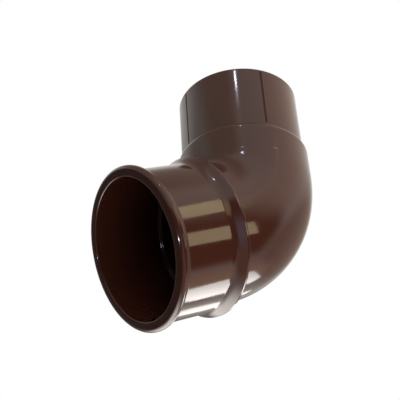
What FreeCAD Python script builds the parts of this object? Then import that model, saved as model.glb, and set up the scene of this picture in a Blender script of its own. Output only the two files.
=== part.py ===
import FreeCAD, Part
import math
import os

import Sketcher

# Driving dimensions of the elbow, in millimetres and degrees
SIZES = (
    ("spigot_dia", 68.0, "outside of the spigot, as of the round downpipe"),
    ("spigot_length", 38.6, "spigot's end to the foot of the shoulder"),
    ("spigot_wall", 2.8, "wall of the spigot"),
    ("end_chamfer", 0.8, "chamfer that leads the spigot's end into the next socket"),
    ("shoulder_step", 2.3, "height of the shoulder above the spigot"),
    ("shoulder_radius", 3.5, "rounding of the shoulder"),
    ("body_wall", 3.0, "wall of the bent body"),
    ("body_length", 17.7, "shoulder's foot to the start of the bend"),
    ("taper_length", 6.0, "run over which the bore widens from spigot to body"),
    ("throat_radius", 3.2, "inside of the bend's throat to the axis that the bend turns about"),
    ("bend_turn", 67.5, "angle that the pipe turns through"),
    ("neck_length", 8.3, "end of the bend to the pipe stop in the socket"),
    ("socket_clearance", 1.4, "gap all round between a pipe and the socket's bore"),
    ("socket_wall", 3.0, "wall of the socket's barrel"),
    ("socket_depth", 40.0, "mouth to the pipe stop"),
    ("ridge_height", 3.0, "height of the stiffening ridge above the barrel"),
    ("ridge_setback", 0.7, "pipe stop to the start of the ridge's land"),
    ("ridge_land", 0.8, "flat top of the ridge"),
    ("ridge_round", 0.5, "rounding of both edges of the ridge's land"),
    ("ridge_ramp", 30.0, "slope of the ridge's front, from the socket's axis"),
    ("ridge_back", 14.0, "lean of the ridge's back, from square to the axis"),
    ("rim_height", 2.7, "height of the rolled rim above the barrel"),
    ("rim_radius", 2.7, "rounding of the rolled rim"),
    ("rim_fillet", 1.6, "hollow rounding behind the rim"),
    ("lip_radius", 1.0, "lead-in rounding inside the mouth"),
    ("rib_width", 1.2, "width of a grip rib on the spigot"),
    ("rib_height", 0.2, "height of a grip rib above the spigot"),
    ("rib_spread", 82.0, "angle from the rib over the socket to those at the sides"),
    ("rib_start", 1.6, "spigot's end to the start of the ribs"),
    ("rib_gap", 1.4, "end of the ribs to the shoulder's foot"),
)

# Radii that follow from the driving dimensions
SPIGOT = "(Sizes.spigot_dia / 2)"
SPIGOT_BORE = f"({SPIGOT} - Sizes.spigot_wall)"
BODY = f"({SPIGOT} + Sizes.shoulder_step)"
BODY_BORE = f"({BODY} - Sizes.body_wall)"
BEND = f"({BODY} + Sizes.throat_radius)"
SOCKET_BORE = f"({SPIGOT} + Sizes.socket_clearance)"
BARREL = f"({SOCKET_BORE} + Sizes.socket_wall)"
RIDGE = f"({BARREL} + Sizes.ridge_height)"
RIM_CENTRE = f"({BARREL} + Sizes.rim_height - Sizes.rim_radius)"

FULL_TURN = 360.0
NORMAL = FreeCAD.Vector(0, 0, 1)
X_AXIS = -1
ORIGIN = (-1, 1)

doc = FreeCAD.newDocument("downspout_elbow")


def make_sheet():
    """Write the driving dimensions to the sheet, one named cell to a row."""
    sheet = doc.addObject("Spreadsheet::Sheet", "Sizes")
    for row, (alias, number, note) in enumerate(SIZES, start=1):
        sheet.set(f"A{row}", str(number))
        sheet.setAlias(f"A{row}", alias)
        sheet.set(f"B{row}", note)
    doc.recompute()
    return sheet


sizes = make_sheet()


def value(formula):
    """A formula in the sheet's names, worked out."""
    return float(sizes.evalExpression(formula))


def size(alias):
    """One driving dimension."""
    return value(f"Sizes.{alias}")


def point(x, y):
    return FreeCAD.Vector(x, y, 0)


def polar(centre, radius, degrees):
    """The point at an angle on a circle."""
    angle = math.radians(degrees)
    return centre + point(radius * math.cos(angle), radius * math.sin(angle))


class Section:
    """A closed outline of wall, drawn edge after edge. A smooth edge runs on without a corner."""

    def __init__(self, sketch, start):
        self.sketch = sketch
        self.start = start
        self.here = start
        self.edges = []

    def line(self, end, smooth=False):
        """A straight edge to a point. Returns the edge's number."""
        return self.add(Part.LineSegment(self.here, end), end, (1, 2), smooth)

    def arc(self, centre, end, left=True, smooth=True):
        """An arc about a centre to a point, turning left or right. Returns the edge's number."""
        circle = Part.Circle(centre, NORMAL, (end - centre).Length)
        first = circle.parameter(self.here)
        last = circle.parameter(end)
        if left:
            return self.add(Part.ArcOfCircle(circle, first, last), end, (1, 2), smooth)
        return self.add(Part.ArcOfCircle(circle, last, first), end, (2, 1), smooth)

    def add(self, curve, end, ends, smooth):
        number = self.sketch.addGeometry(curve, False)
        self.edges.append((number, *ends, smooth))
        self.here = end
        return number

    def close(self):
        """Join every edge to the next, and the last to the first."""
        for one, two in zip(self.edges, self.edges[1:] + self.edges[:1]):
            edge, _, end, smooth = one
            following, start, _, _ = two
            kind = "Tangent" if smooth else "Coincident"
            self.sketch.addConstraint(Sketcher.Constraint(kind, edge, end, following, start))


def bind(sketch, name, formula, kind, *where):
    """Add a named dimension to a sketch and tie it to the sheet."""
    start = value(formula)
    if kind == "Angle":
        start = math.radians(start)
    number = sketch.addConstraint(Sketcher.Constraint(kind, *where, start))
    sketch.renameConstraint(number, name)
    sketch.setExpression(f"Constraints.{name}", formula)


def hold(sketch, kind, *edges):
    """Keep edges Vertical or Horizontal."""
    for edge in edges:
        sketch.addConstraint(Sketcher.Constraint(kind, edge))


def hold_on_x_axis(sketch, edge, end):
    sketch.addConstraint(Sketcher.Constraint("PointOnObject", edge, end, X_AXIS))


def make_sketch(body, name, plane):
    """A sketch on one of the body's own origin planes."""
    sketch = body.newObject("Sketcher::SketchObject", name)
    planes = {feature.Role: feature for feature in body.Origin.OriginFeatures}
    sketch.AttachmentSupport = [(planes[plane], "")]
    sketch.MapMode = "FlatFace"
    return sketch


def turn_sketch(sketch, axis, formula):
    """Turn a sketch in its plane through a bound angle."""
    sketch.AttachmentOffset = FreeCAD.Placement(FreeCAD.Vector(), FreeCAD.Rotation(axis, FULL_TURN / 4))
    sketch.setExpression("AttachmentOffset.Rotation.Angle", formula)


def revolve(body, name, sketch, formula=None):
    """Turn a section about its sketch's upright axis, all the way round or through a bound angle."""
    turned = body.newObject("PartDesign::Revolution", name)
    turned.Profile = sketch
    turned.ReferenceAxis = (sketch, ["V_Axis"])
    turned.Angle = FULL_TURN
    if formula:
        turned.setExpression("Angle", formula)
    doc.recompute()


def spigot_section(body):
    """Wall of the spigot, the rounded shoulder and the straight start of the body."""
    spigot = value(SPIGOT)
    spigot_bore = value(SPIGOT_BORE)
    outer = value(BODY)
    bore = value(BODY_BORE)
    top = size("spigot_length")
    foot = -size("body_length")
    chamfer = size("end_chamfer")
    swell = size("shoulder_radius")
    drop = math.sqrt(swell ** 2 - (spigot - outer + swell) ** 2)

    sketch = make_sketch(body, "spigot_section", "XZ_Plane")
    wall = Section(sketch, point(bore, foot))
    joint_face = wall.line(point(outer, foot))
    body_side = wall.line(point(outer, -drop), smooth=True)
    shoulder = wall.arc(point(outer - swell, -drop), point(spigot, 0), smooth=False)
    spigot_side = wall.line(point(spigot, top - chamfer))
    lead_in = wall.line(point(spigot - chamfer, top))
    end_face = wall.line(point(spigot_bore, top))
    spigot_inside = wall.line(point(spigot_bore, 0))
    taper = wall.line(point(bore, -size("taper_length")))
    body_inside = wall.line(wall.start)
    wall.close()

    hold(sketch, "Horizontal", joint_face, end_face)
    hold(sketch, "Vertical", body_side, spigot_side, spigot_inside, body_inside)
    hold_on_x_axis(sketch, spigot_side, 1)
    hold_on_x_axis(sketch, spigot_inside, 2)
    bind(sketch, "body", BODY, "DistanceX", *ORIGIN, body_side, 1)
    bind(sketch, "body_bore", BODY_BORE, "DistanceX", *ORIGIN, body_inside, 1)
    bind(sketch, "spigot", SPIGOT, "DistanceX", *ORIGIN, spigot_side, 1)
    bind(sketch, "spigot_bore", SPIGOT_BORE, "DistanceX", *ORIGIN, spigot_inside, 1)
    bind(sketch, "body_length", "Sizes.body_length", "DistanceY", joint_face, 1, *ORIGIN)
    bind(sketch, "spigot_length", "Sizes.spigot_length", "DistanceY", *ORIGIN, end_face, 1)
    bind(sketch, "taper_length", "Sizes.taper_length", "DistanceY", taper, 2, *ORIGIN)
    bind(sketch, "shoulder", "Sizes.shoulder_radius", "Radius", shoulder)
    bind(sketch, "chamfer_across", "Sizes.end_chamfer", "DistanceX", lead_in, 2, lead_in, 1)
    bind(sketch, "chamfer_along", "Sizes.end_chamfer", "DistanceY", lead_in, 1, lead_in, 2)
    return sketch


def bend_section(body):
    """Ring of wall at the start of the bend, drawn out from the axis that it turns about."""
    sketch = make_sketch(body, "bend_section", "XY_Plane")
    sketch.setExpression("AttachmentOffset.Base.x", f"-{BEND}")
    sketch.setExpression("AttachmentOffset.Base.z", "-Sizes.body_length")
    for name, radius in (("outside", BODY), ("inside", BODY_BORE)):
        circle = Part.Circle(point(value(BEND), 0), NORMAL, value(radius))
        ring = sketch.addGeometry(circle, False)
        hold_on_x_axis(sketch, ring, 3)
        bind(sketch, f"{name}_place", BEND, "DistanceX", *ORIGIN, ring, 3)
        bind(sketch, name, radius, "Radius", ring)
    return sketch


def socket_section(body):
    """Wall of the neck, the ridge, the barrel and the rolled rim, with the pipe stop inside."""
    outer = value(BODY)
    bore = value(BODY_BORE)
    barrel = value(BARREL)
    socket_bore = value(SOCKET_BORE)
    stop = -size("neck_length")
    mouth = stop - size("socket_depth")

    # The rolled rim, the hollow behind it and the lip inside the mouth
    lip = size("lip_radius")
    roll = size("rim_radius")
    hollow = size("rim_fillet")
    roll_centre = point(value(RIM_CENTRE), mouth + roll)
    across = barrel + hollow - roll_centre.x
    rise = math.sqrt((roll + hollow) ** 2 - across ** 2)
    hollow_centre = roll_centre + point(across, rise)
    roll_end = polar(roll_centre, roll, math.degrees(math.atan2(rise, across)))

    # The ridge: a ramp up from the barrel, a narrow land and a steep back down to the neck
    ridge = value(RIDGE)
    crown = size("ridge_round")
    ramp = size("ridge_ramp")
    lean = size("ridge_back")
    land_back = point(ridge, stop - size("ridge_setback"))
    land_front = land_back - point(0, size("ridge_land"))
    front_centre = land_front - point(crown, 0)
    back_centre = land_back - point(crown, 0)
    ramp_top = polar(front_centre, crown, -ramp)
    back_top = polar(back_centre, crown, 90 - lean)
    ramp_foot = point(barrel, ramp_top.y - (ramp_top.x - barrel) / math.tan(math.radians(ramp)))
    back_foot = point(outer, back_top.y + (back_top.x - outer) * math.tan(math.radians(lean)))

    sketch = make_sketch(body, "socket_section", "XZ_Plane")
    turn_sketch(sketch, -NORMAL, "Sizes.bend_turn")
    sideways = f"{BEND} * (cos(Sizes.bend_turn * 1 deg) - 1)"
    downwards = f"{BEND} * sin(Sizes.bend_turn * 1 deg)"
    sketch.setExpression("AttachmentOffset.Base.x", sideways)
    sketch.setExpression("AttachmentOffset.Base.y", f"-Sizes.body_length - {downwards}")
    wall = Section(sketch, point(socket_bore + lip, mouth))
    mouth_face = wall.line(point(roll_centre.x, mouth), smooth=True)
    rim_roll = wall.arc(roll_centre, roll_end)
    rim_hollow = wall.arc(hollow_centre, point(barrel, hollow_centre.y), left=False)
    barrel_side = wall.line(ramp_foot)
    ramp_side = wall.line(ramp_top, smooth=True)
    front_crown = wall.arc(front_centre, land_front)
    land = wall.line(land_back, smooth=True)
    back_crown = wall.arc(back_centre, back_top)
    back_side = wall.line(back_foot)
    neck_side = wall.line(point(outer, 0))
    joint_face = wall.line(point(bore, 0))
    neck_inside = wall.line(point(bore, stop))
    stop_face = wall.line(point(socket_bore, stop))
    socket_inside = wall.line(point(socket_bore, mouth + lip), smooth=True)
    lip_roll = wall.arc(wall.start + point(0, lip), wall.start)
    wall.close()

    hold(sketch, "Horizontal", mouth_face, stop_face)
    hold(sketch, "Vertical", barrel_side, land, neck_side, neck_inside, socket_inside)
    hold_on_x_axis(sketch, joint_face, 1)
    hold_on_x_axis(sketch, joint_face, 2)
    bind(sketch, "body", BODY, "DistanceX", *ORIGIN, neck_side, 2)
    bind(sketch, "body_bore", BODY_BORE, "DistanceX", *ORIGIN, neck_inside, 1)
    bind(sketch, "barrel", BARREL, "DistanceX", *ORIGIN, barrel_side, 1)
    bind(sketch, "socket_bore", SOCKET_BORE, "DistanceX", *ORIGIN, socket_inside, 1)
    bind(sketch, "ridge", RIDGE, "DistanceX", *ORIGIN, land, 1)
    bind(sketch, "rim", RIM_CENTRE, "DistanceX", *ORIGIN, rim_roll, 3)
    bind(sketch, "neck_length", "Sizes.neck_length", "DistanceY", stop_face, 1, *ORIGIN)
    bind(sketch, "socket_depth", "Sizes.socket_depth", "DistanceY", mouth_face, 1, stop_face, 1)
    bind(sketch, "ridge_setback", "Sizes.ridge_setback", "DistanceY", land, 2, stop_face, 1)
    bind(sketch, "ridge_land", "Sizes.ridge_land", "DistanceY", land, 1, land, 2)
    bind(sketch, "ridge_ramp", "90 - Sizes.ridge_ramp", "Angle", ramp_side)
    bind(sketch, "ridge_back", "180 - Sizes.ridge_back", "Angle", back_side)
    bind(sketch, "front_crown", "Sizes.ridge_round", "Radius", front_crown)
    bind(sketch, "back_crown", "Sizes.ridge_round", "Radius", back_crown)
    bind(sketch, "rim_roll", "Sizes.rim_radius", "Radius", rim_roll)
    bind(sketch, "rim_hollow", "Sizes.rim_fillet", "Radius", rim_hollow)
    bind(sketch, "lip_roll", "Sizes.lip_radius", "Radius", lip_roll)
    return sketch


def add_rib(body, name, turn):
    """A low crowned rib down the spigot, at an angle round it from the side away from the socket."""
    half = size("rib_width") / 2
    root_formula = f"{SPIGOT} - Sizes.spigot_wall / 2"
    side_formula = f"{SPIGOT} + Sizes.rib_height / 2"
    crown_formula = "(Sizes.rib_width ^ 2 + Sizes.rib_height ^ 2) / (4 * Sizes.rib_height)"
    root = value(root_formula)
    side = value(side_formula)
    top = value(SPIGOT) + size("rib_height")

    sketch = make_sketch(body, f"{name}_section", "XY_Plane")
    turn_sketch(sketch, NORMAL, turn)
    sketch.setExpression("AttachmentOffset.Base.z", "Sizes.rib_gap")
    outline = Section(sketch, point(root, -half))
    left_side = outline.line(point(side, -half))
    crown = outline.arc(point(top - value(crown_formula), 0), point(side, half), smooth=False)
    right_side = outline.line(point(root, half))
    root_side = outline.line(outline.start)
    outline.close()

    hold(sketch, "Horizontal", left_side, right_side)
    hold(sketch, "Vertical", root_side)
    sketch.addConstraint(Sketcher.Constraint("Symmetric", left_side, 2, right_side, 1, X_AXIS))
    bind(sketch, "width", "Sizes.rib_width", "DistanceY", left_side, 2, right_side, 1)
    bind(sketch, "root", root_formula, "DistanceX", *ORIGIN, root_side, 1)
    bind(sketch, "side", side_formula, "DistanceX", *ORIGIN, left_side, 2)
    bind(sketch, "crown", crown_formula, "Radius", crown)
    rib = body.newObject("PartDesign::Pad", name)
    rib.Profile = sketch
    rib.setExpression("Length", "Sizes.spigot_length - Sizes.rib_start - Sizes.rib_gap")
    doc.recompute()


def make_elbow():
    """The moulded elbow: spigot, shoulder, bend and socket in one wall."""
    body = doc.addObject("PartDesign::Body", "elbow")
    body.Label = "elbow"
    revolve(body, "spigot", spigot_section(body))
    revolve(body, "bend", bend_section(body), "Sizes.bend_turn")
    revolve(body, "socket", socket_section(body))
    add_rib(body, "rib_outer", "0")
    add_rib(body, "rib_left", "180 + Sizes.rib_spread")
    add_rib(body, "rib_right", "180 - Sizes.rib_spread")
    add_rib(body, "rib_inner", "180")
    return body


def check(body):
    """Stop if any object failed, a section is loose or the elbow isn't one sound solid."""
    for item in doc.Objects:
        if "Invalid" in item.State or "Error" in item.State:
            raise RuntimeError(f"{item.Name} failed: {item.State}")
        if item.TypeId == "Sketcher::SketchObject" and not item.FullyConstrained:
            raise RuntimeError(f"{item.Name} isn't fully constrained")
    shape = body.Shape
    if shape.isNull() or not shape.isValid() or len(shape.Solids) != 1:
        raise RuntimeError("the elbow isn't one valid solid")


elbow = make_elbow()
check(elbow)
os.makedirs("parts", exist_ok=True)
elbow.Shape.exportStep(f"parts/{elbow.Label}.step")
print(f"elbow: volume {elbow.Shape.Volume:.0f} mm3")
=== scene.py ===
import math

import bmesh
import bpy
from bpy.props import FloatProperty, FloatVectorProperty, IntProperty, PointerProperty
from mathutils import Euler, Matrix, Vector


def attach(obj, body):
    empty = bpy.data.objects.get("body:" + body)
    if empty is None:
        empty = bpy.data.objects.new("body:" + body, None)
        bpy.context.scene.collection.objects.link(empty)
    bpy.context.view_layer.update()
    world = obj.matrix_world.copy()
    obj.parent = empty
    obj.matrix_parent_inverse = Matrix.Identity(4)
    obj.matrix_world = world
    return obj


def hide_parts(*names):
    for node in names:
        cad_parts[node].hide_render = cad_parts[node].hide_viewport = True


bl_info = {
    "name": "Downspout elbow",
    "version": (1, 0, 0),
    "blender": (4, 5, 0),
    "location": "3D View > Sidebar > Elbow",
    "description": "A moulded round downspout elbow and the pale stage that it is shown on",
    "category": "Mesh",
}

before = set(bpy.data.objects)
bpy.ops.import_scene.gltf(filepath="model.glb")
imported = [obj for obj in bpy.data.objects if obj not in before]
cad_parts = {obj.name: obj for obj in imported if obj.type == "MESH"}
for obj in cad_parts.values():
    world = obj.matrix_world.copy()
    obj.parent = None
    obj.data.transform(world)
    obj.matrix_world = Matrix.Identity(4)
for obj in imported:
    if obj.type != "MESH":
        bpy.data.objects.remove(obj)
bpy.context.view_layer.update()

NODE = "elbow"
BODY = "root"
MILLIMETRE = 0.001
UP = Vector((0, 0, 1))
ACROSS = Vector((0, 1, 0))
WELD_DISTANCE = 0.02 * MILLIMETRE
SHARP_EDGE = math.radians(30)
DISC_SEGMENTS = 48
FLOOR_SEGMENTS = 8

# A run of wall shorter than this many guards has no guards
ROOM_FOR_GUARDS = 4


def length(name, description, millimetres):
    """A size of the elbow, given in millimetres and kept in metres."""
    return FloatProperty(
        name=name,
        description=description,
        default=millimetres * MILLIMETRE,
        min=0.0,
        precision=5,
        unit="LENGTH",
    )


def angle(name, description, degrees):
    """An angle of the elbow, given in degrees."""
    return FloatProperty(name=name, description=description, default=math.radians(degrees), unit="ROTATION")


def share(name, description, default):
    """A plain factor from none to all."""
    return FloatProperty(
        name=name, description=description, default=default, min=0.0, max=1.0, subtype="FACTOR"
    )


def colour(name, description, default):
    """A colour, given as linear red, green and blue."""
    return FloatVectorProperty(
        name=name, description=description, default=default, size=3, min=0.0, max=1.0, subtype="COLOR"
    )


def power(name, description, watts):
    """The power of a lamp, given in watts."""
    return FloatProperty(name=name, description=description, default=watts, min=0.0, unit="POWER")


def spot(name, description, metres):
    """A point, given in metres."""
    return FloatVectorProperty(
        name=name, description=description, default=metres, size=3, subtype="TRANSLATION"
    )


class ElbowSizes(bpy.types.PropertyGroup):
    """Sizes of the moulded wall, from the spigot's end to the socket's mouth."""

    spigot_radius: length("Spigot radius", "Outside of the spigot", 34.0)
    spigot_bore: length("Spigot bore", "Inside of the spigot", 31.2)
    spigot_length: length("Spigot length", "Spigot's end to the foot of the shoulder", 38.6)
    end_round: length("End rounding", "Outer edge of the spigot's end", 0.8)
    end_edge: length("End edge", "Inner edge of the spigot's end", 0.4)
    shoulder_radius: length("Shoulder rounding", "Swell from the spigot to the body", 3.5)
    shoulder_hollow: length("Shoulder foot", "Fine hollow at the foot of the shoulder", 0.25)
    body_radius: length("Body radius", "Outside of the body and the bend", 36.3)
    body_bore: length("Body bore", "Inside of the body and the bend", 33.3)
    body_length: length("Body length", "Shoulder's foot to the start of the bend", 17.7)
    taper_length: length("Taper", "Run over which the bore widens from spigot to body", 6.0)
    bend_radius: length("Bend radius", "Axis of the pipe to the axis that the bend turns about", 39.5)
    bend_turn: angle("Bend turn", "Angle that the pipe turns through", 67.5)
    neck_length: length("Neck length", "End of the bend to the pipe stop", 8.3)
    stop_round: length("Stop rounding", "Edge and corner of the pipe stop", 0.5)
    socket_bore: length("Socket bore", "Inside of the socket", 35.4)
    barrel_radius: length("Barrel radius", "Outside of the socket's barrel", 38.4)
    socket_depth: length("Socket depth", "Mouth to the pipe stop", 40.0)
    ridge_radius: length("Ridge radius", "Outside of the stiffening ridge", 41.4)
    ridge_setback: length("Ridge setback", "Pipe stop to the ridge's land", 0.7)
    ridge_land: length("Ridge land", "Flat top of the ridge", 0.8)
    ridge_round: length("Ridge rounding", "Edges of the ridge's land", 0.5)
    ridge_ramp: angle("Ridge ramp", "Slope of the ridge's front, from the socket's axis", 30.0)
    ridge_back: angle("Ridge back", "Lean of the ridge's back, from square to the axis", 14.0)
    back_hollow: length("Back foot", "Fine hollow at the foot of the ridge's back", 0.5)
    ramp_hollow: length("Ramp foot", "Soft hollow at the foot of the ridge's ramp", 8.0)
    rim_radius: length("Rim rounding", "Rolled rim round the mouth", 2.7)
    rim_hollow: length("Rim foot", "Hollow behind the rolled rim", 1.6)
    lip_radius: length("Lip rounding", "Lead-in inside the mouth", 1.0)
    rib_height: length("Rib height", "Height of a grip rib above the spigot", 0.2)
    rib_spread: angle("Rib spread", "Rib over the socket to the ribs at the sides", 82.0)
    rib_start: length("Rib start", "Spigot's end to the start of the ribs", 1.6)
    rib_gap: length("Rib gap", "End of the ribs to the shoulder's foot", 1.4)
    rib_flank: length("Rib flank", "Run of a rib's steep flank", 0.14)
    rib_crown: length("Rib crown", "Run from a rib's flank to the flat of its top", 0.16)
    flank_rise: share("Flank rise", "Part of a rib's height that its flank takes", 0.7)
    seam_width: length("Seam width", "Width of the fine mould line where the bend starts", 0.5)
    seam_depth: length("Seam depth", "Depth of the fine mould line where the bend starts", 0.04)
    columns: IntProperty(name="Columns", description="Columns of faces round the pipe", default=180, min=24)
    bend_rows: IntProperty(name="Bend rows", description="Rows of faces along the bend", default=40, min=8)
    arc_step: angle("Arc step", "Turn of one face round a small rounding", 9.0)
    guard: length("Guard", "Narrow row beside each rounding, which keeps the long faces flat", 0.3)


class PvcFinish(bpy.types.PropertyGroup):
    """Looks of the brown moulding."""

    deep: colour("Deep colour", "Darker tone of the brown", (0.050, 0.0140, 0.0084))
    warm: colour("Warm colour", "Lighter tone of the brown", (0.064, 0.0190, 0.0118))
    cloud_size: length("Cloud size", "Size of the clouds in the pigment", 30.0)
    ior: FloatProperty(name="IOR", description="Refractive index of rigid PVC", default=1.5, min=1.0)
    polish: share("Polish", "Least roughness of the moulded skin", 0.08)
    haze: share("Haze", "Roughness of the duller places", 0.12)
    dull_size: length("Dull size", "Size of the duller places", 12.0)
    dull_start: share("Dull start", "Level of the noise at which the polish starts to fade", 0.35)
    dull_end: share("Dull end", "Level of the noise at which the skin is dullest", 0.7)
    shine: share("Shine", "Strength of the moulded skin's reflections", 0.5)
    rubbed: share("Rubbed", "Roughness of the ribs, which a mating pipe rubs dull", 0.55)
    rubbed_shine: share("Rubbed shine", "Strength of the ribs' reflections", 0.12)
    ripple: length("Ripple", "Height of the moulded skin's slow waves", 0.01)
    ripple_size: length("Ripple size", "Size of the moulded skin's slow waves", 20.0)
    grain: length("Grain", "Height of the moulded skin's fine grain", 0.0003)
    grain_size: length("Grain size", "Size of the moulded skin's fine grain", 0.8)


class StudioStage(bpy.types.PropertyGroup):
    """The floor, light and camera that show the elbow."""

    floor_drop: length("Floor drop", "Elbow's origin to the floor below it", 1600.0)
    floor_size: length("Floor size", "Side of the floor", 12000.0)
    floor_colour: colour("Floor colour", "Pale floor", (0.85, 0.85, 0.85))
    sky_light: FloatProperty(
        name="Sky light", description="Plain light that the tent casts", default=1.15, min=0.0
    )
    tent_radius: length("Tent radius", "Light tent round the elbow", 1300.0)
    card_distance: length("Card distance", "Middle of the elbow to the cards hung in the tent", 1000.0)
    bulb_colour: colour("Bulb colour", "Colour of the small lamps", (0.80, 0.78, 1.0))
    bulb_radius: length("Bulb radius", "Radius of the small lamps", 9.0)
    bulb_power: power("Bulb power", "Power of the lamp over the spigot", 0.3)
    bulb_place: spot("Bulb place", "Lamp over the spigot, in the stage's axes", (-0.033, 0.541, 0.127))
    front_bulb_power: power("Front bulb power", "Power of the lamp before the mouth", 1.5)
    front_bulb_place: spot(
        "Front bulb place", "Lamp before the mouth, in the stage's axes", (-0.271, -0.044, 0.418)
    )
    disc_depth: length("Disc depth", "Spigot's end to the dark disc inside it", 8.5)
    middle: spot("Middle", "Point of the elbow that the stage is set about", (-0.02, 0.0, -0.03))
    camera_place: spot("Camera place", "Where the camera stands", (-0.215694, -0.325013, -0.275142))
    camera_turn: FloatVectorProperty(
        name="Camera turn",
        description="How the camera is turned",
        default=(math.radians(122.82965), math.radians(3.26484), math.radians(-27.70945)),
        size=3,
        subtype="EULER",
    )
    camera_lens: FloatProperty(
        name="Lens", description="Focal length in millimetres", default=76.083, unit="CAMERA"
    )


# Colours of the stage's light
WHITE = (1.0, 1.0, 1.0)
CREAM = (1.0, 0.97, 0.92)
TAN = (1.0, 0.84, 0.52)
WARM = (1.0, 0.84, 0.72)
RUDDY = (1.0, 0.68, 0.50)
LAVENDER = (0.72, 0.70, 1.0)

# Soft oval patches on the tent's pale lining: name, colour and brightness, then in degrees the bearing
# and elevation of the middle (nought is towards the camera), half the width and half the height, and
# last how softly it fades
PATCHES = (
    ("dark_front", WHITE, 0.05, 0, 0, 42, 42, 0.06),
    ("dim_front", RUDDY, 0.60, 5, -34, 38, 24, 0.15),
    ("dark_right", WHITE, 0.02, 63, 8, 30, 40, 0.08),
    ("dark_left", WHITE, 0.08, -72, -10, 60, 46, 0.10),
    ("dim_left", CREAM, 0.30, -155, -20, 36, 26, 0.12),
    ("warm_left", WARM, 0.64, -75, 57, 48, 18, 0.15),
    ("warm_above", WARM, 0.45, -174, 57, 45, 26, 0.15),
    ("dim_back", WARM, 0.55, 122, -16, 34, 25, 0.12),
    ("warm_right", WARM, 1.15, 117, 36, 32, 24, 0.20),
    ("ruddy_glow", RUDDY, 1.50, 87, -40, 20, 8, 0.25),
    ("back_glow", CREAM, 4.00, -162, -60, 25, 13, 0.25),
    ("under_glow", CREAM, 6.50, -110, -84, 24, 18, 0.25),
    ("tan_front", TAN, 1.50, 42, 40, 20, 11, 0.15),
    ("front_glow", LAVENDER, 0.90, 14, 1, 9, 16, 0.25),
)

# Parts of the tent that give no plain light, before the mouth and over the spigot, which keeps the
# inside dark: bearing, elevation, half the width and half the height in degrees, and how softly it
# fades
SHADES = (
    (-53, -7, 58, 58, 0.15),
    (-174, 57, 28, 28, 0.15),
)

# Flat glowing cards hung in the tent, which show in the gloss alone: name, colour, brightness at the
# left and right end, bearing and elevation in degrees, width at the top and the foot and height in
# metres, and the card's turn and slant in degrees
CARDS = (
    ("upper_window", TAN, 4.0, 4.0, 74, 42, 0.22, 0.10, 0.26, 0, 8),
    ("lower_window", TAN, 3.5, 3.5, 69, 9, 0.20, 0.20, 0.27, 0, -8),
    ("softbox", CREAM, 13.0, 6.2, 111, -47, 0.22, 0.22, 0.35, 90, 0),
    ("low_strip", CREAM, 5.5, 5.5, 158, -43, 0.20, 0.20, 0.20, 0, 0),
)


class WallProfile:
    """A section of wall, drawn from point to point beside the upright axis."""

    def __init__(self, bm, sizes, radius, height):
        self.bm = bm
        self.sizes = sizes
        self.tip = bm.verts.new((radius, 0, height))
        self.verts = [self.tip]
        self.edges = []

    def step(self, place):
        """A plain edge to a point."""
        grown = bmesh.ops.extrude_vert_indiv(self.bm, verts=[self.tip])
        self.tip = grown["verts"][0]
        self.tip.co = place
        self.verts.append(self.tip)
        self.edges.extend(grown["edges"])

    def run(self, radius, height):
        """A straight run, with a narrow row at both ends where there is room."""
        start = self.tip.co.copy()
        way = Vector((radius, 0, height)) - start
        guard = way.normalized() * self.sizes.guard
        if way.length > ROOM_FOR_GUARDS * self.sizes.guard:
            self.step(start + guard)
            self.step(start + way - guard)
        self.step(start + way)

    def turn(self, radius, height, turned):
        """A rounding about a centre, through an angle."""
        steps = max(2, math.ceil(abs(turned) / self.sizes.arc_step))
        known = set(self.bm.verts)
        known_edges = set(self.bm.edges)
        spun = bmesh.ops.spin(
            self.bm,
            geom=[self.tip],
            cent=(radius, 0, height),
            axis=-ACROSS,
            angle=turned,
            steps=steps,
        )
        self.tip = next(part for part in spun["geom_last"] if isinstance(part, bmesh.types.BMVert))
        self.verts.extend(vert for vert in self.bm.verts if vert not in known)
        self.edges.extend(edge for edge in self.bm.edges if edge not in known_edges)

    def revolve(self):
        """Turn the section all the way round the upright axis. Returns the wall's vertices."""
        known = set(self.bm.verts) - set(self.verts)
        columns = self.sizes.columns
        bmesh.ops.spin(
            self.bm,
            geom=self.verts + self.edges,
            cent=(0, 0, 0),
            axis=UP,
            angle=2 * math.pi,
            steps=columns,
            use_merge=True,
        )
        wall = [vert for vert in self.bm.verts if vert not in known]
        half_column = Matrix.Rotation(math.pi / columns, 3, UP)
        bmesh.ops.rotate(self.bm, verts=wall, cent=(0, 0, 0), matrix=half_column)
        return wall


def draw_spigot(bm, sizes):
    """The spigot, the shoulder and the straight start of the body, out and in again."""
    spigot = sizes.spigot_radius
    body = sizes.body_radius
    top = sizes.spigot_length
    base = -sizes.body_length
    seam = base + sizes.seam_width
    end = sizes.end_round
    edge = sizes.end_edge

    # The shoulder: a swell from the body and a fine hollow up to the spigot
    swell = sizes.shoulder_radius
    hollow = sizes.shoulder_hollow
    core = body - swell
    drop = math.sqrt(swell ** 2 - (spigot - core) ** 2)
    across = spigot + hollow - core
    rise = math.sqrt((swell + hollow) ** 2 - across ** 2)
    lean = math.atan2(rise, across)

    wall = WallProfile(bm, sizes, body, base)
    wall.step(Vector((body, 0, seam)))
    wall.step(Vector((body - sizes.seam_depth, 0, seam + sizes.seam_width / 2)))
    wall.step(Vector((body, 0, seam + sizes.seam_width)))
    wall.run(body, -drop)
    wall.turn(core, -drop, lean)
    wall.turn(spigot + hollow, rise - drop, -lean)
    wall.run(spigot, sizes.rib_gap)
    wall.step(Vector((spigot, 0, top - sizes.rib_start)))
    wall.run(spigot, top - end)
    wall.turn(spigot - end, top - end, math.pi / 2)
    wall.run(sizes.spigot_bore + edge, top)
    wall.turn(sizes.spigot_bore + edge, top - edge, math.pi / 2)
    wall.run(sizes.spigot_bore, 0)
    wall.run(sizes.body_bore, -sizes.taper_length)
    wall.run(sizes.body_bore, base)
    return wall.revolve()


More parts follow.
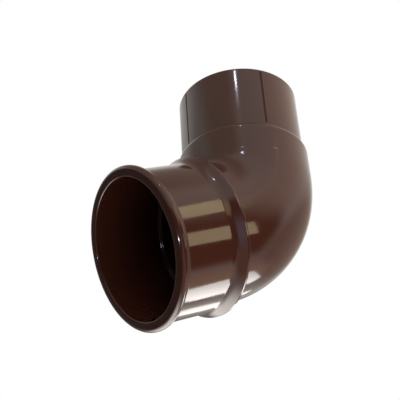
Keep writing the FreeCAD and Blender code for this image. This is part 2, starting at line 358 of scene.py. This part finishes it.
def draw_socket(bm, sizes):
    """The neck, the ridge, the barrel, the rolled rim and the pipe stop, drawn hanging straight down."""
    base = -sizes.body_length
    stop = base - sizes.neck_length
    mouth = stop - sizes.socket_depth
    body = sizes.body_radius
    barrel = sizes.barrel_radius
    bore = sizes.socket_bore

    # The ridge: a steep back, a narrow land and a ramp down to the barrel
    crown = sizes.ridge_round
    top = sizes.ridge_radius - crown
    land_back = stop - sizes.ridge_setback
    land_front = land_back - sizes.ridge_land
    back_turn = math.pi / 2 - sizes.ridge_back
    back_top = Vector((top + crown * math.cos(back_turn), 0, land_back + crown * math.sin(back_turn)))
    back_foot = back_top.z + (back_top.x - body) * math.tan(sizes.ridge_back)
    ramp = sizes.ridge_ramp
    ramp_top = Vector((top + crown * math.cos(ramp), 0, land_front - crown * math.sin(ramp)))
    ramp_foot = ramp_top.z - (ramp_top.x - barrel) / math.tan(ramp)
    back_hollow = sizes.back_hollow
    ramp_hollow = sizes.ramp_hollow
    back_reach = back_hollow * math.tan(back_turn / 2)
    ramp_reach = ramp_hollow * math.tan(ramp / 2)

    # The rolled rim and the hollow behind it
    roll = sizes.rim_radius
    dip = sizes.rim_hollow
    rise = math.sqrt((roll + dip) ** 2 - dip ** 2)
    rim_turn = math.atan2(rise, dip)
    lip = sizes.lip_radius
    edge = sizes.stop_round

    wall = WallProfile(bm, sizes, body, base)
    wall.run(body, back_foot + back_reach)
    wall.turn(body + back_hollow, back_foot + back_reach, back_turn)
    wall.run(back_top.x, back_top.z)
    wall.turn(top, land_back, -back_turn)
    wall.run(sizes.ridge_radius, land_front)
    wall.turn(top, land_front, -ramp)
    wall.run(barrel + ramp_reach * math.sin(ramp), ramp_foot + ramp_reach * math.cos(ramp))
    wall.turn(barrel + ramp_hollow, ramp_foot - ramp_reach, ramp)
    wall.run(barrel, mouth + roll + rise)
    wall.turn(barrel + dip, mouth + roll + rise, rim_turn)
    wall.turn(barrel, mouth + roll, -rim_turn - math.pi / 2)
    wall.run(bore + lip, mouth)
    wall.turn(bore + lip, mouth + lip, -math.pi / 2)
    wall.run(bore, stop - edge)
    wall.turn(bore - edge, stop - edge, math.pi / 2)
    wall.run(sizes.body_bore + edge, stop)
    wall.turn(sizes.body_bore + edge, stop + edge, -math.pi / 2)
    wall.run(sizes.body_bore, base)
    return wall.revolve()


def raise_ribs(bm, sizes):
    """Raise one column of faces for each grip rib on the spigot, and mark it as rubbed dull."""
    rubbed = bm.faces.layers.float.new("rubbed")
    low = sizes.rib_gap
    high = sizes.spigot_length - sizes.rib_start
    places = (0.0, math.pi - sizes.rib_spread, math.pi, -math.pi + sizes.rib_spread)
    quarter_column = math.pi / sizes.columns / 2
    columns = []
    for face in bm.faces:
        middle = face.calc_center_median()
        sides = (face.edges[0].calc_length(), face.edges[1].calc_length())
        is_long = any(abs(side - (high - low)) < sizes.guard for side in sides)
        if not is_long or middle.xy.length < sizes.spigot_bore + sizes.guard:
            continue
        round_angle = math.atan2(middle.y, middle.x)
        for place in places:
            apart = (round_angle - place + math.pi) % (2 * math.pi) - math.pi
            if abs(apart) < quarter_column:
                columns.append(face)
    if len(columns) != len(places):
        raise RuntimeError(f"{len(columns)} columns stand where {len(places)} ribs belong")
    steps = ((sizes.rib_flank, sizes.flank_rise), (sizes.rib_crown, 1 - sizes.flank_rise))
    for inwards, upwards in steps:
        flanks = bmesh.ops.inset_individual(
            bm,
            faces=columns,
            thickness=inwards,
            depth=upwards * sizes.rib_height,
            use_even_offset=True,
        )
        for face in (*columns, *flanks["faces"]):
            face[rubbed] = 1.0


def turn_bend(bm, sizes, socket):
    """Swing the socket round the bend's axis, and spin the body's two edges after it."""
    base = -sizes.body_length
    centre = Vector((-sizes.bend_radius, 0, base))
    hung = set(socket)
    rings = [
        edge
        for edge in bm.edges
        if edge.is_boundary and not hung.intersection(edge.verts)
    ]
    bmesh.ops.spin(
        bm,
        geom=rings + list({vert for edge in rings for vert in edge.verts}),
        cent=centre,
        axis=ACROSS,
        angle=sizes.bend_turn,
        steps=sizes.bend_rows,
    )
    swing = Matrix.Rotation(sizes.bend_turn, 3, ACROSS)
    bmesh.ops.rotate(bm, verts=socket, cent=centre, matrix=swing)
    bmesh.ops.remove_doubles(bm, verts=bm.verts, dist=WELD_DISTANCE)


def add_node(tree, kind, **inputs):
    """A shader node with its named inputs set."""
    node = tree.nodes.new(kind)
    for name, given in inputs.items():
        node.inputs[name].default_value = given
    return node


def skin_noise(tree, place, size, detail):
    """Noise on the moulding whose blotches are about a given size in metres."""
    noise = add_node(tree, "ShaderNodeTexNoise", Scale=1 / size, Detail=detail, Roughness=0.55)
    tree.links.new(place.outputs["Object"], noise.inputs["Vector"])
    return noise.outputs["Fac"]


def spread(tree, source, low, high, least, most):
    """Stretch a part of a value's range over another range."""
    stretch = tree.nodes.new("ShaderNodeMapRange")
    stretch.inputs["From Min"].default_value = low
    stretch.inputs["From Max"].default_value = high
    stretch.inputs["To Min"].default_value = least
    stretch.inputs["To Max"].default_value = most
    tree.links.new(source, stretch.inputs["Value"])
    return stretch.outputs["Result"]


def brown_pvc(finish):
    """Glossy brown moulded PVC: cloudy pigment, a slightly rippled skin and faint dull patches."""
    material = bpy.data.materials.new("brown_pvc")
    material.use_nodes = True
    tree = material.node_tree
    shader = tree.nodes["Principled BSDF"]
    shader.inputs["IOR"].default_value = finish.ior
    place = tree.nodes.new("ShaderNodeTexCoord")

    pigment = tree.nodes.new("ShaderNodeMix")
    pigment.data_type = "RGBA"
    pigment.inputs["A"].default_value = (*finish.deep, 1)
    pigment.inputs["B"].default_value = (*finish.warm, 1)
    clouds = skin_noise(tree, place, finish.cloud_size, detail=4.0)
    tree.links.new(clouds, pigment.inputs["Factor"])
    tree.links.new(pigment.outputs["Result"], shader.inputs["Base Color"])

    dull = skin_noise(tree, place, finish.dull_size, detail=2.0)
    rough = spread(tree, dull, finish.dull_start, finish.dull_end, finish.polish, finish.haze)
    worn = tree.nodes.new("ShaderNodeAttribute")
    worn.attribute_name = "rubbed"
    roughest = tree.nodes.new("ShaderNodeMath")
    roughest.operation = "MAXIMUM"
    tree.links.new(rough, roughest.inputs[0])
    tree.links.new(spread(tree, worn.outputs["Fac"], 0, 1, 0, finish.rubbed), roughest.inputs[1])
    tree.links.new(roughest.outputs["Value"], shader.inputs["Roughness"])
    shine = spread(tree, worn.outputs["Fac"], 0, 1, finish.shine, finish.rubbed_shine)
    tree.links.new(shine, shader.inputs["Specular IOR Level"])

    ripple = add_node(tree, "ShaderNodeBump", Strength=1.0, Distance=finish.ripple)
    tree.links.new(skin_noise(tree, place, finish.ripple_size, detail=1.0), ripple.inputs["Height"])
    grain = add_node(tree, "ShaderNodeBump", Strength=1.0, Distance=finish.grain)
    tree.links.new(skin_noise(tree, place, finish.grain_size, detail=2.0), grain.inputs["Height"])
    tree.links.new(ripple.outputs["Normal"], grain.inputs["Normal"])
    tree.links.new(grain.outputs["Normal"], shader.inputs["Normal"])
    return material


def plain_mesh(bm, name, material):
    """Close a bmesh into an object at the origin."""
    mesh = bpy.data.meshes.new(name)
    bm.to_mesh(mesh)
    bm.free()
    mesh.materials.append(material)
    piece = bpy.data.objects.new(name, mesh)
    bpy.context.scene.collection.objects.link(piece)
    return piece


class ELBOW_OT_mould(bpy.types.Operator):
    """Mould the elbow's wall in one piece, from the spigot round the bend to the socket"""

    bl_idname = "elbow.mould"
    bl_label = "Mould the elbow"

    def execute(self, context):
        sizes = context.scene.elbow_sizes
        bm = bmesh.new()
        draw_spigot(bm, sizes)
        raise_ribs(bm, sizes)
        socket = draw_socket(bm, sizes)
        turn_bend(bm, sizes, socket)
        bmesh.ops.recalc_face_normals(bm, faces=bm.faces)
        if any(not edge.is_manifold for edge in bm.edges):
            raise RuntimeError("the elbow's wall isn't closed")
        for face in bm.faces:
            face.smooth = True
        elbow = plain_mesh(bm, "moulded_elbow", brown_pvc(context.scene.elbow_finish))
        elbow.data.set_sharp_from_angle(angle=SHARP_EDGE)
        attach(elbow, BODY)
        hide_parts(NODE)
        return {"FINISHED"}


def shown_rays(tree):
    """One where a ray comes from the camera, a reflection or a clear body, and nought for plain light."""
    path = tree.nodes.new("ShaderNodeLightPath")
    seen = path.outputs["Is Camera Ray"]
    for other in ("Is Glossy Ray", "Is Transmission Ray"):
        either = tree.nodes.new("ShaderNodeMath")
        either.operation = "MAXIMUM"
        tree.links.new(seen, either.inputs[0])
        tree.links.new(path.outputs[other], either.inputs[1])
        seen = either.outputs["Value"]
    return seen


def white_world():
    """Plain white surroundings, which the camera sees through the tent."""
    world = bpy.data.worlds.new("studio")
    world.use_nodes = True
    sky = world.node_tree.nodes["Background"]
    sky.inputs["Color"].default_value = (1, 1, 1, 1)
    sky.inputs["Strength"].default_value = 1.0
    return world


def plain_paint(name, tint):
    """A plain matt paint."""
    material = bpy.data.materials.new(name)
    material.use_nodes = True
    paint = material.node_tree.nodes["Principled BSDF"]
    paint.inputs["Base Color"].default_value = (*tint, 1)
    paint.inputs["Roughness"].default_value = 0.9
    paint.inputs["Specular IOR Level"].default_value = 0.0
    return material


def stage_frame(stage):
    """The stage's own axes: right, up and towards the camera, about the middle of the elbow."""
    return Matrix.Translation(stage.middle) @ Euler(stage.camera_turn).to_matrix().to_4x4()


def aim(bearing, elevation):
    """A turn of the stage's axes that points the third one to a bearing and an elevation in degrees."""
    swing = Matrix.Rotation(math.radians(bearing), 4, "Y")
    return swing @ Matrix.Rotation(math.radians(-elevation), 4, "X")


def glowing_sheet(bm, axes, name):
    """A sheet that shines in the colours of its vertices, and that the camera looks through."""
    bmesh.ops.transform(bm, matrix=axes, verts=bm.verts)
    material = plain_paint(name, (0, 0, 0))
    tree = material.node_tree
    paint = tree.nodes["Principled BSDF"]
    paint.inputs["Emission Strength"].default_value = 1.0
    tint = tree.nodes.new("ShaderNodeAttribute")
    tint.attribute_name = "glow"
    tree.links.new(tint.outputs["Color"], paint.inputs["Emission Color"])
    sheet = plain_mesh(bm, name, material)
    sheet.visible_camera = False
    return sheet


def hang_card(axes, distance, card):
    """A flat glowing card that faces the elbow."""
    name, tint, left_glow, right_glow, bearing, elevation, *shape = card
    top_width, foot_width, height, turn, slant = shape
    bm = bmesh.new()
    glow = bm.verts.layers.float_color.new("glow")
    bmesh.ops.create_grid(bm, x_segments=1, y_segments=1, size=0.5)
    for vert in bm.verts:
        brightness = left_glow + (right_glow - left_glow) * (vert.co.x + 0.5)
        vert[glow] = (*(Vector(tint) * brightness), 1)
    for width, edge in ((top_width, 0.5), (foot_width, -0.5)):
        row = [vert for vert in bm.verts if vert.co.y * edge > 0]
        bmesh.ops.scale(bm, vec=(width, 1, 1), verts=row)
    bmesh.ops.scale(bm, vec=(1, height, 1), verts=bm.verts)
    lean = Matrix.Shear("XZ", 4, (math.tan(math.radians(slant)), 0))
    hung = Matrix.Translation((0, 0, distance)) @ Matrix.Rotation(math.radians(turn), 4, "Z") @ lean
    sheet = glowing_sheet(bm, axes @ aim(bearing, elevation) @ hung, name)
    sheet.visible_diffuse = False


def patch_share(way, patch):
    """How far inside a soft oval patch a direction points, from nought to one."""
    bearing, elevation, half_width, half_height, fade = patch
    across, up, out = aim(bearing, elevation).to_3x3().transposed() @ way
    wide = math.tan(math.radians(half_width))
    tall = math.tan(math.radians(half_height))
    inside = Vector((across / wide, up / tall, out)).normalized().z
    edge = math.cos(math.pi / 4)
    part = min(max((inside - edge + fade) / (2 * fade), 0), 1)
    smooth = part * part * (3 - 2 * part)
    return smooth


def raise_tent(axes, stage):
    """A round pale tent with soft patches, which lights the elbow and shows in its gloss."""
    bm = bmesh.new()
    glow = bm.verts.layers.float_color.new("glow")
    light = bm.verts.layers.float_color.new("light")
    bmesh.ops.create_icosphere(bm, subdivisions=6, radius=stage.tent_radius)
    for vert in bm.verts:
        way = vert.co.normalized()
        tone = Vector(CREAM)
        for _, tint, brightness, *patch in PATCHES:
            tone = tone.lerp(Vector(tint) * brightness, patch_share(way, patch))
        vert[glow] = (*tone, 1)
        lit = 1 - max(patch_share(way, shade) for shade in SHADES)
        vert[light] = (*(Vector(CREAM) * stage.sky_light * lit), 1)
    tent = glowing_sheet(bm, axes, "light_tent")
    tree = tent.active_material.node_tree
    plain = tree.nodes.new("ShaderNodeAttribute")
    plain.attribute_name = "light"
    choice = tree.nodes.new("ShaderNodeMix")
    choice.data_type = "RGBA"
    glow_colour = tree.nodes["Principled BSDF"].inputs["Emission Color"]
    tree.links.new(shown_rays(tree), choice.inputs["Factor"])
    tree.links.new(plain.outputs["Color"], choice.inputs["A"])
    tree.links.new(glow_colour.links[0].from_socket, choice.inputs["B"])
    tree.links.new(choice.outputs["Result"], glow_colour)
    tent.active_material.cycles.emission_sampling = "NONE"


def hang_bulb(axes, stage, place, watts):
    """A small lamp that leaves fine glints on the elbow."""
    light = bpy.data.lights.new("bulb", "POINT")
    light.shadow_soft_size = stage.bulb_radius
    light.color = stage.bulb_colour
    light.energy = watts
    holder = bpy.data.objects.new("bulb", light)
    holder.location = axes @ Vector(place)
    holder.visible_camera = False
    holder.visible_diffuse = False
    bpy.context.scene.collection.objects.link(holder)


def shade_bend_gloss(sizes, stage):
    """A dark disc that shows in the gloss alone: painted shade in the reflections, which keeps the sky's
    shine out of the bend.
    """
    bm = bmesh.new()
    inside = Matrix.Translation(UP * (sizes.spigot_length - stage.disc_depth))
    bmesh.ops.create_circle(
        bm, cap_ends=True, segments=DISC_SEGMENTS, radius=sizes.spigot_bore, matrix=inside
    )
    disc = plain_mesh(bm, "gloss_shade_disc", plain_paint("gloss_shade_disc", (0, 0, 0)))
    disc.visible_camera = False
    disc.visible_diffuse = False
    disc.visible_shadow = False


def lay_floor(stage):
    """A plain pale floor well below the elbow."""
    bm = bmesh.new()
    low = Matrix.Translation((0, 0, -stage.floor_drop))
    bmesh.ops.create_grid(
        bm,
        x_segments=FLOOR_SEGMENTS,
        y_segments=FLOOR_SEGMENTS,
        size=stage.floor_size / 2,
        matrix=low,
    )
    plain_mesh(bm, "floor", plain_paint("pale_floor", stage.floor_colour))


def stand_camera(scene, stage):
    """The camera, at the photograph's viewing angle."""
    lens = bpy.data.cameras.new("camera")
    lens.lens = stage.camera_lens
    lens.clip_start = 0.01
    camera = bpy.data.objects.new("camera", lens)
    camera.location = stage.camera_place
    camera.rotation_euler = stage.camera_turn
    scene.collection.objects.link(camera)
    scene.camera = camera


class ELBOW_OT_stage(bpy.types.Operator):
    """Set the pale floor, the soft light and the camera"""

    bl_idname = "elbow.stage"
    bl_label = "Set the stage"

    def execute(self, context):
        stage = context.scene.elbow_stage
        scene = context.scene
        scene.view_settings.view_transform = "Standard"
        scene.world = white_world()

        lay_floor(stage)
        axes = stage_frame(stage)
        raise_tent(axes, stage)
        for card in CARDS:
            hang_card(axes, stage.card_distance, card)
        hang_bulb(axes, stage, stage.bulb_place, stage.bulb_power)
        hang_bulb(axes, stage, stage.front_bulb_place, stage.front_bulb_power)
        # Painted shade: a dark disc, seen only in the gloss, that darkens the reflections inside the bend
        shade_bend_gloss(scene.elbow_sizes, stage)
        stand_camera(scene, stage)
        return {"FINISHED"}


class ELBOW_PT_panel(bpy.types.Panel):
    """The elbow's sizes, looks and stage"""

    bl_idname = "ELBOW_PT_panel"
    bl_label = "Downspout elbow"
    bl_space_type = "VIEW_3D"
    bl_region_type = "UI"
    bl_category = "Elbow"

    def draw(self, context):
        layout = self.layout
        for group in (context.scene.elbow_sizes, context.scene.elbow_finish, context.scene.elbow_stage):
            box = layout.box()
            for name in group.bl_rna.properties.keys():
                if name not in {"rna_type", "name"}:
                    box.prop(group, name)
        layout.operator(ELBOW_OT_mould.bl_idname)
        layout.operator(ELBOW_OT_stage.bl_idname)


CLASSES = (ElbowSizes, PvcFinish, StudioStage, ELBOW_OT_mould, ELBOW_OT_stage, ELBOW_PT_panel)


def register():
    for cls in CLASSES:
        bpy.utils.register_class(cls)
    bpy.types.Scene.elbow_sizes = PointerProperty(type=ElbowSizes)
    bpy.types.Scene.elbow_finish = PointerProperty(type=PvcFinish)
    bpy.types.Scene.elbow_stage = PointerProperty(type=StudioStage)


def unregister():
    del bpy.types.Scene.elbow_stage
    del bpy.types.Scene.elbow_finish
    del bpy.types.Scene.elbow_sizes
    for cls in reversed(CLASSES):
        bpy.utils.unregister_class(cls)


def main():
    register()
    bpy.ops.elbow.mould()
    bpy.ops.elbow.stage()


if __name__ == "__main__":
    main()
